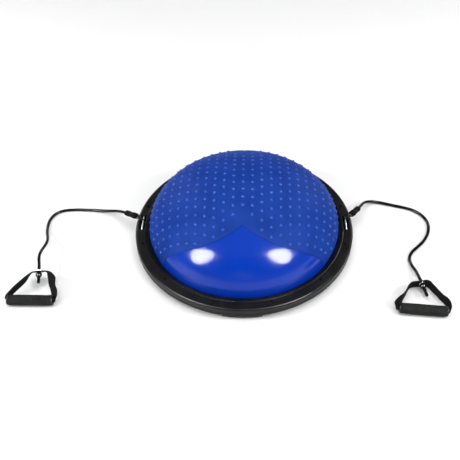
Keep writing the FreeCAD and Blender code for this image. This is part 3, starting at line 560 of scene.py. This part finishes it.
SLEEVE_FRAMES = {
    "left": ((-292.6, 29.8, 39.8), 150, 6),
    "right": ((290.5, 38.9, 39.5), 52.5, 8),
}
SLEEVE_SECTIONS = (
    (-0.6, 6.0, 3.0), (-0.4, 7.8, 4.4), (0.6, 8.7, 5.2), (6, 8.9, 5.6), (12.6, 8.6, 5.8),
    (14.2, 7.6, 5.6), (15, 6.6, 5.2), (18, 6.4, 5.2), (20, 7.4, 5.8), (26, 7.7, 6.0),
    (34, 7.6, 6.0), (37, 7.2, 5.7), (38, 6.2, 5.1), (38, 4.9, 4.5), (36, 4.15, 4.15),
)
SLEEVE_SQUARENESS = 0.62
WHIP_TURNS, WHIP_SECTION = (16.6, 17.7, 18.8), (6.75, 5.5)
STITCH_ROWS, STITCH_HEIGHT = (-5.9, 5.9), 5.25
STITCH_START, STITCH_STEP, STITCH_COUNT, STITCH_LENGTH = 2.2, 3.1, 4, 2.3


def heading_frame(place, heading, slope):
    """+X along that heading, which falls by slope degrees."""
    turn = Matrix.Rotation(math.radians(heading), 4, "Z") @ Matrix.Rotation(
        math.radians(slope), 4, "Y")
    return Matrix.Translation(Vector(place) * MM) @ turn


def squared(turn, half_width, half_depth):
    """A point of a rounded rectangle, in the plane across the sleeve."""
    across, up = math.cos(turn), math.sin(turn)
    power = SLEEVE_SQUARENESS
    return (math.copysign(abs(across) ** power, across) * half_width,
            math.copysign(abs(up) ** power, up) * half_depth)


def ring_of_thread(points, faces, frame_at, along, half_width, half_depth, thread=0.45):
    """One turn of thread round the neck."""
    around, steps = 6, 28
    start = len(points)
    for i in range(steps):
        turn = 2 * math.pi * i / steps
        across, up = squared(turn, half_width, half_depth)
        outward = Vector((0, across, up)).normalized()
        for j in range(around):
            spin = 2 * math.pi * j / around
            offset = Vector((math.cos(spin), 0, 0)) + outward * math.sin(spin)
            slant = 0.35 * math.cos(turn)
            points.append(frame_at @ ((Vector((along + slant, across, up)) + offset * thread) * MM))
    for i in range(steps):
        for j in range(around):
            a, b = start + i * around, start + (i + 1) % steps * around
            nxt = (j + 1) % around
            faces.append((a + j, a + nxt, b + nxt, b + j))


def stitch(points, faces, frame_at, centre, length, thread=0.4):
    """One raised stitch along the sleeve: a thread that dips in at both ends."""
    around, steps = 6, 7
    start = len(points)
    for i in range(steps):
        share = i / (steps - 1)
        rise = math.sin(math.pi * share)
        radius = thread * (0.35 + 0.65 * rise)
        for j in range(around):
            spin = 2 * math.pi * j / around
            points.append(frame_at @ (Vector((
                centre[0] + (share - 0.5) * length,
                centre[1] + radius * math.cos(spin),
                centre[2] + math.copysign(rise * 0.45 - 0.2, centre[2])
                + radius * math.sin(spin),
            )) * MM))
    faces.extend(loft_faces(steps, around, start, caps=True))


def make_sleeve(side):
    """The folded webbing, and the thread that whips and stitches it."""
    place, heading, slope = SLEEVE_FRAMES[side]
    frame_at = heading_frame(place, heading, slope)
    around = 40
    points, weave = [], []
    for along, half_width, half_depth in SLEEVE_SECTIONS:
        for j in range(around):
            turn = 2 * math.pi * j / around
            if half_width > half_depth:
                across, up = squared(turn, half_width, half_depth)
            else:
                across, up = half_width * math.cos(turn), half_depth * math.sin(turn)
            points.append(frame_at @ (Vector((along, across, up)) * MM))
            weave.append((along * MM, across * MM, up * MM))
    faces = loft_faces(len(SLEEVE_SECTIONS), around)
    faces.append(tuple(reversed(range(around))))
    sleeve = piece(side + "_sleeve_webbing", points, faces, [SLEEVE], side + "_band",
                   weave=weave)
    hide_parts(side + "_band_sleeve")
    points, faces = [], []
    for along in WHIP_TURNS:
        ring_of_thread(points, faces, frame_at, along, *WHIP_SECTION)
    for face in (-1, 1):
        for row in STITCH_ROWS:
            for k in range(STITCH_COUNT):
                centre = (STITCH_START + STITCH_STEP * k, row, face * STITCH_HEIGHT)
                stitch(points, faces, frame_at, centre, STITCH_LENGTH)
    piece(side + "_sleeve_stitching", points, faces, [THREAD], side + "_band")


# Handles

GRIP_FRAMES = {"left": ((-527.5, -243, 13.6), 0, 12.4), "right": ((436, -265.8, 13.6), -5.1, 0)}
STRAP_THICKNESS = 2.2
# Each row: centre of the webbing (x, y) in the handle's plane, how far its upper edge leans
# (x, y), and its width.
STRAP_ROWS = {
    "left": (
        (-54, 0, 0, 0, 13), (-59, -0.5, 0, 0, 15), (-60.5, 3, -0.5, -1, 20),
        (-57, 13, -2, -3, 24), (-50.5, 23, -3, -4, 25), (-41, 36, -4, -4, 25),
        (-28, 53, -3, -4, 25), (-17, 70, 2, -4, 25), (-8, 79, 3, -5, 25),
        (8, 80.2, 1, -4.5, 25), (22, 82.5, 3, -5, 25), (34, 79, 8, -4, 25),
        (42.5, 65, 11, -1, 25), (46.5, 52, 9.5, 4.5, 25), (51, 36, 7.5, 3, 25),
        (57, 22, 8.5, 2, 25), (62.5, 7, 5, 0, 22), (60, -0.5, 0, 0, 15), (54, 0, 0, 0, 13),
    ),
    "right": (
        (-54, 0, 0, 0, 13), (-60, -0.5, 0, 0, 15), (-65, 3, -2.5, -0.5, 21),
        (-63, 12.5, -5, -1, 24), (-53, 26, -4.5, 0, 25), (-45, 38, -0.5, 0, 25),
        (-38, 51, 0, 0, 25), (-31.5, 66, 0, -0.5, 25), (-23, 76.5, 0, -1, 25),
        (-8, 80.8, -0.5, -1, 25), (3.1, 83.4, 0, -0.5, 25), (13, 85.3, 0, 0, 25),
        (21, 81.5, 0.5, 0.5, 25), (28.5, 70.5, 0.5, 0.5, 25), (38, 57, 1, -1.5, 25),
        (47.5, 43, 1, -1, 25), (57, 32, 1, 1, 25), (64, 20, 0.5, 0, 24),
        (65, 7, 0, 0, 20), (60, -0.5, 0, 0, 15), (54, 0, 0, 0, 13),
    ),
}
EYELETS = {
    "left": ((-519.46, -164.67, 30.82), (0.12105, -0.96949, -0.21316), 20),
    "right": ((446.49, -182.99, 13.6), (0.1445, -0.98951, 0), 3),
}
GROMMET_PROFILE = (
    (4.3, -1.0), (4.5, -2.0), (5.2, -2.35), (6.4, -2.2), (7.3, -1.7), (7.6, -1.15), (5.6, -1.1),
    (5.6, 1.1), (7.6, 1.15), (7.3, 1.7), (6.4, 2.2), (5.2, 2.35), (4.5, 2.0), (4.3, 1.0),
)
FOAM_SECTIONS = (
    (-55, 9.9), (-55, 11.3), (-54.6, 12.4), (-53.2, 13.15), (-50, 13.35), (-42, 13.25),
    (-28, 13.4), (-14, 13.5), (0, 13.45), (14, 13.5), (28, 13.4), (42, 13.25), (50, 13.35),
    (53.2, 13.15), (54.6, 12.4), (55, 11.3), (55, 9.9), (54, 9.6), (-54, 9.6),
)


def grip_frame(side):
    """The handle's frame: +X along the grip, +Y towards the eyelet."""
    place, yaw, tilt = GRIP_FRAMES[side]
    turn = Matrix.Rotation(math.radians(yaw), 4, "Z") @ Matrix.Rotation(
        math.radians(tilt), 4, "X")
    return Matrix.Translation(Vector(place) * MM) @ turn


def ribbon_section(width, thickness):
    """Points (across, through) of the webbing's section, with rounded selvedges."""
    half, deep = width / 2, thickness / 2
    edge = [(half - deep + deep * math.cos(a), deep * math.sin(a))
            for a in (-math.pi / 2, -math.pi / 4, 0, math.pi / 4, math.pi / 2)]
    inner = [(half * share, deep) for share in (0.6, 0.3, 0, -0.3, -0.6)]
    other = [(-x, -y) for x, y in edge]
    back = [(-x, -y) for x, y in inner]
    return edge + inner + other + back


def make_strap(side):
    """The webbing loop, standing on edge and leaning where it is twisted."""
    frame_at = grip_frame(side)
    rows = smooth_rows(STRAP_ROWS[side], 6)
    section_size = len(ribbon_section(1, 1))
    points, weave, run = [], [], 0.0
    for i, (x, y, lean_x, lean_y, width) in enumerate(rows):
        before, after = rows[max(i - 1, 0)], rows[min(i + 1, len(rows) - 1)]
        tangent = Vector((after[0] - before[0], after[1] - before[1], 0)).normalized()
        lean = math.hypot(lean_x, lean_y)
        rise = math.sqrt(max((width / 2) ** 2 - lean ** 2, 0))
        up = Vector((lean_x, lean_y, rise)).normalized()
        through = up.cross(tangent).normalized()
        if i:
            run += math.hypot(x - rows[i - 1][0], y - rows[i - 1][1])
        for across, deep in ribbon_section(width, STRAP_THICKNESS):
            points.append(frame_at @ ((Vector((x, y, 0)) + up * across + through * deep) * MM))
            weave.append((run * MM, across * MM, deep * MM))
    faces = loft_faces(len(rows), section_size, caps=True)
    strap = piece(side + "_strap_webbing", points, faces, [STRAP], side + "_handle",
                  weave=weave)
    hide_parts(side + "_strap")


def make_grommet(side):
    """A rolled eyelet, pressed through the webbing and leaning with it."""
    place, axis, lean = EYELETS[side]
    along = Vector(axis)
    sideways = along.cross(Vector((0, 0, 1))).normalized()
    along = Matrix.Rotation(math.radians(lean), 3, sideways) @ along
    across, other = sideways, sideways.cross(along)
    around = 40
    points = []
    for radius, depth in GROMMET_PROFILE:
        for j in range(around):
            turn = 2 * math.pi * j / around
            spread = across * math.cos(turn) + other * math.sin(turn)
            points.append((Vector(place) + spread * radius + along * depth) * MM)
    rows = len(GROMMET_PROFILE)
    faces = loft_faces(rows, around)
    for j in range(around):
        nxt = (j + 1) % around
        last = (rows - 1) * around
        faces.append((last + j, last + nxt, nxt, j))
    grommet = piece(side + "_grommet", points, faces, [NICKEL], side + "_handle")
    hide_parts(side + "_eyelet")


def make_foam(side):
    """The foam sleeve: slightly waisted near its ends, with shallow hand-worn dents."""
    frame_at = grip_frame(side)
    around = 56
    rows = []
    for i in range(len(FOAM_SECTIONS) - 1):
        (x0, r0), (x1, r1) = FOAM_SECTIONS[i:i + 2]
        steps = max(1, round(abs(x1 - x0) / 4)) if min(r0, r1) > 9.8 else 1
        rows += [(x0 + (x1 - x0) * k / steps, r0 + (r1 - r0) * k / steps) for k in range(steps)]
    rows.append(FOAM_SECTIONS[-1])
    points = []
    for along, radius in rows:
        for j in range(around):
            turn = 2 * math.pi * j / around
            dent = 0.0
            if radius > 11:
                dent = 0.16 * math.sin(3 * turn + along * 0.09) * math.cos(along * 0.13 + 1.2)
                dent -= 0.14 * math.cos(2 * turn - along * 0.05)
                dent -= 0.1
            reach = radius + dent
            points.append(frame_at @ (Vector((
                along, reach * math.cos(turn), reach * math.sin(turn))) * MM))
    faces = loft_faces(len(rows), around)
    for j in range(around):
        nxt = (j + 1) % around
        last = (len(rows) - 1) * around
        faces.append((last + j, last + nxt, nxt, j))
    foam_piece = piece(side + "_foam", points, faces, [FOAM], side + "_grip")
    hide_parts(side + "_foam_grip")


# Carried-over CAD nodes

CAD_FINISHES = {
    "platform": PLATFORM, "clamp_ring": RING, "ring_screws": SCREW, "centre_foot": RUBBER,
    "valve_seat": VALVE, "valve_plug": PLUG,
}
CAD_FINISHES.update({"foot_%d" % k: RUBBER for k in range(1, 7)})
SIDE_FINISHES = {
    "anchor_bar": CHROME, "hook_body": HOOK, "gate_pin": HOOK, "hook_gate": HOOK,
    "gate_spring": SPRING, "link_ring": HOOK, "tube_plug": PLUG, "stop_ball": BALL,
    "tube_tail": TUBE, "tail_plug": TUBE, "grip_core": CORE, "inner_washer": CORE,
    "outer_washer": CORE,
}
for side_name in SIDE_NAMES:
    CAD_FINISHES.update({side_name + "_" + k: v for k, v in SIDE_FINISHES.items()})


def finish_cad_nodes():
    """Gives the CAD nodes that are kept as they are their materials."""
    for name, material in CAD_FINISHES.items():
        mesh = nodes[name].data
        if not mesh.materials:
            mesh.materials.append(material)
        for index in range(len(mesh.materials)):
            mesh.materials[index] = material


# Studio

FLOOR_SIZE = 14


def make_floor():
    half = FLOOR_SIZE / 2
    mesh = bpy.data.meshes.new("floor")
    mesh.from_pydata([(-half, -half, 0), (half, -half, 0), (half, half, 0), (-half, half, 0)],
                     [], [(0, 1, 2, 3)])
    mesh.materials.append(studio_floor())
    floor = bpy.data.objects.new("floor", mesh)
    bpy.context.scene.collection.objects.link(floor)


def area_light(name, centre, long_edge, size_x, size_y, power, gloss):
    """An area light that faces the dome, with its long edge as near that direction as it goes.

    With gloss it shows only in reflections, and without it lights only what is matt."""
    data = bpy.data.lights.new(name, "AREA")
    data.shape = "ELLIPSE"
    data.size, data.size_y = size_x, size_y
    data.energy = power
    light = bpy.data.objects.new(name, data)
    bpy.context.scene.collection.objects.link(light)
    back = (Vector(centre) - Vector((0, 0, 0.1))).normalized()
    upward = (Vector(long_edge) - back * back.dot(Vector(long_edge))).normalized()
    sideways = upward.cross(back)
    light.matrix_world = Matrix.Translation(centre) @ Matrix(
        (sideways, upward, back)).transposed().to_4x4()
    light.visible_glossy = gloss
    light.visible_diffuse = not gloss


SOFTBOXES = {
    "left": ((-1.54, -1.11, 1.50), (0.43, 0.37, 0.71)),
    "right": ((1.36, -1.13, 1.65), (-0.44, 0.42, 0.68)),
}
SOFTBOX_SIZE = (0.78, 1.75)
GLINT_POWER, FILL_POWER = 180, 26
UPRIGHT = (0, 0, 1)
KEY_PLACES = {"left": (-3.0, -0.6, 1.9), "right": (3.0, -0.6, 1.9)}
KEY_SIZE, KEY_POWER = 0.4, 58
BACK_PLACES = {"left": (-1.5, 1.75, 1.0), "right": (1.5, 1.75, 1.0)}
BACK_SIZE, BACK_POWER = 0.45, 22
FRONT_PLACE, FRONT_SIZE, FRONT_POWER = (0, -3.2, 0.9), 1.2, 42
CEILING_PLACE, CEILING_EDGE = (0, 0.3, 4), (0, 1, 0)
CEILING_SIZE, CEILING_POWER = 5, 190


def make_lights():
    """Softboxes for the dome's two highlights, keys for the shadows, a broad ceiling."""
    for side, (centre, edge) in SOFTBOXES.items():
        area_light("softbox_" + side, centre, edge, *SOFTBOX_SIZE, GLINT_POWER, True)
        area_light("fill_" + side, centre, edge, *SOFTBOX_SIZE, FILL_POWER, False)
        area_light("key_" + side, KEY_PLACES[side], UPRIGHT, KEY_SIZE, KEY_SIZE, KEY_POWER, False)
        area_light("back_" + side, BACK_PLACES[side], UPRIGHT, BACK_SIZE, BACK_SIZE, BACK_POWER,
                   True)
    area_light("front", FRONT_PLACE, UPRIGHT, FRONT_SIZE, FRONT_SIZE, FRONT_POWER, False)
    area_light("ceiling", CEILING_PLACE, CEILING_EDGE, CEILING_SIZE, CEILING_SIZE,
               CEILING_POWER, False)


def make_world():
    """A dim studio: pale near the horizon, dark overhead."""
    world = bpy.data.worlds.new("studio")
    bpy.context.scene.world = world
    world.use_nodes = True
    tree = world.node_tree
    background = tree.nodes["Background"]
    place = tree.nodes.new("ShaderNodeTexCoord")
    parts = tree.nodes.new("ShaderNodeSeparateXYZ")
    ramp = tree.nodes.new("ShaderNodeValToRGB")
    tree.links.new(place.outputs["Generated"], parts.inputs[0])
    tree.links.new(parts.outputs["Z"], ramp.inputs["Fac"])
    tree.links.new(ramp.outputs["Color"], background.inputs["Color"])
    ramp.color_ramp.elements[0].position = 0.0
    ramp.color_ramp.elements[0].color = (0.45, 0.45, 0.45, 1)
    ramp.color_ramp.elements[1].position = 0.75
    ramp.color_ramp.elements[1].color = (0.02, 0.02, 0.021, 1)
    middle = ramp.color_ramp.elements.new(0.28)
    middle.color = (0.12, 0.12, 0.122, 1)
    background.inputs["Strength"].default_value = 1


for side_name in SIDE_NAMES:
    make_tube(side_name)
make_dome()
for side_name in SIDE_NAMES:
    make_sleeve(side_name)
    make_strap(side_name)
    make_grommet(side_name)
    make_foam(side_name)
finish_cad_nodes()
make_floor()
make_world()
make_lights()
